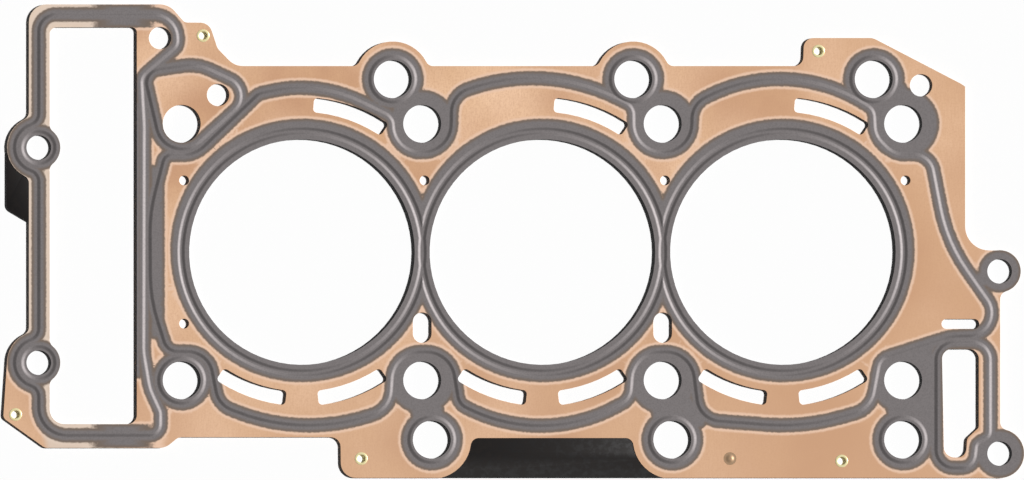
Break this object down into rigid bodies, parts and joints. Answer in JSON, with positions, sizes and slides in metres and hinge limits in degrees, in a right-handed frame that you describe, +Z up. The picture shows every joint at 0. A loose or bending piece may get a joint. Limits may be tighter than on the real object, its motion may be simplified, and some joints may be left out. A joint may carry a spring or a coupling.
{
  "type": "cylinder head gasket",
  "caption": "Flat multi-layer steel gasket with a row of cylinder bores, coolant slots, bolt holes and a timing chain opening, beads pressed round each opening.",
  "frame": {"origin": "centre of the middle cylinder bore, on the plane that the gasket lies on", "axes": "+X along the row of bores, away from the timing chain end; +Y towards the side with the oil feed holes; +Z up, out of the upper sheet"},
  "size_m": [0.382, 0.1773, 0.0015],
  "materials": {
    "coated_sheet": "thin spring steel with a warm tan lacquer and grey printed sealing bands",
    "black_carrier": "smooth black coated sheet steel",
    "stopper_steel": "bare rolled steel",
    "brass": "pale satin brass"
  },
  "bodies": {
    "root": {"upper_layer": "coated_sheet", "carrier_layer": "black_carrier", "lower_layer": "coated_sheet", "stopper_ring_1": "stopper_steel", "stopper_ring_2": "stopper_steel", "stopper_ring_3": "stopper_steel", "rivet_1": "brass", "rivet_2": "brass", "rivet_3": "brass", "rivet_4": "brass", "rivet_5": "brass", "rivet_6": "brass"}
  },
  "joints": []
}
